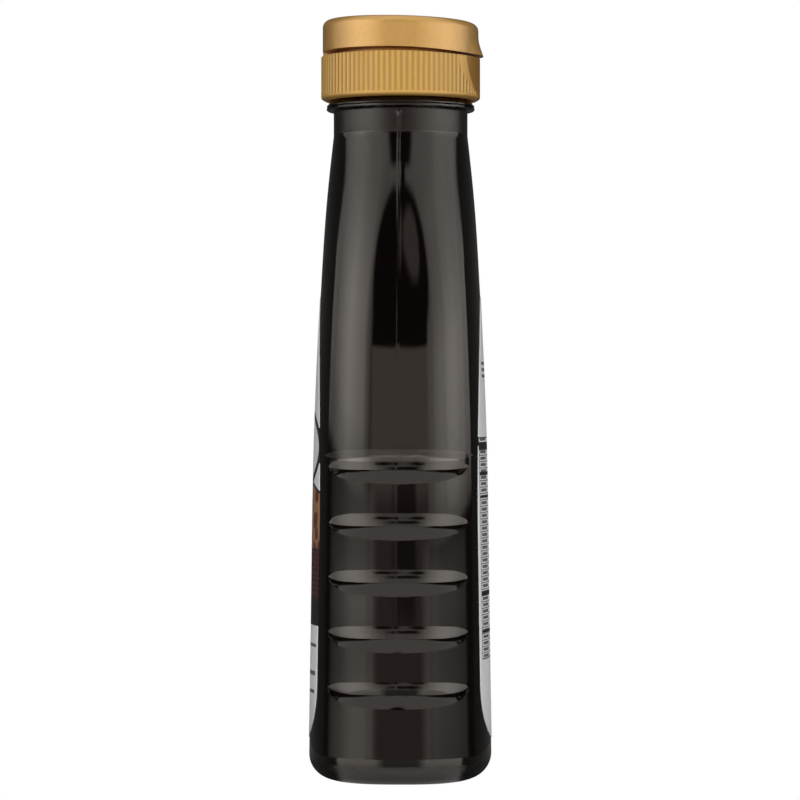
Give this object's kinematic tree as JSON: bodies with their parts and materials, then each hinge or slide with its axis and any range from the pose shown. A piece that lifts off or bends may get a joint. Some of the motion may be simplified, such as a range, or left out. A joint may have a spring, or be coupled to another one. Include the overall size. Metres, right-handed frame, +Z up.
{
  "type": "syrup squeeze bottle",
  "caption": "Shut clear squeeze bottle of dark date syrup with a gold flip-top cap, grooved narrow sides and plain paper labels.",
  "frame": {"origin": "middle of the flat base, on the surface that the bottle stands on", "axes": "+Z up along the bottle, front label faces -Y, back label and the lid's lip face +Y, grooved narrow sides face -X and +X"},
  "size_m": [0.062, 0.0474, 0.1925],
  "materials": {
    "clear_plastic": "clear, glossy",
    "date_syrup": "dark brown syrup",
    "gold_plastic_ribbed": "satin gold",
    "gold_plastic_smooth": "satin gold, smoother than the skirt",
    "label_paper_front": "coated paper with printed fields",
    "label_paper_back": "coated paper with printed fields"
  },
  "bodies": {
    "root": {"bottle": "clear_plastic", "syrup": "date_syrup", "cap_base": "gold_plastic_ribbed", "cap_lid": "gold_plastic_smooth", "label_front": "label_paper_front", "label_back": "label_paper_back"}
  },
  "joints": []
}
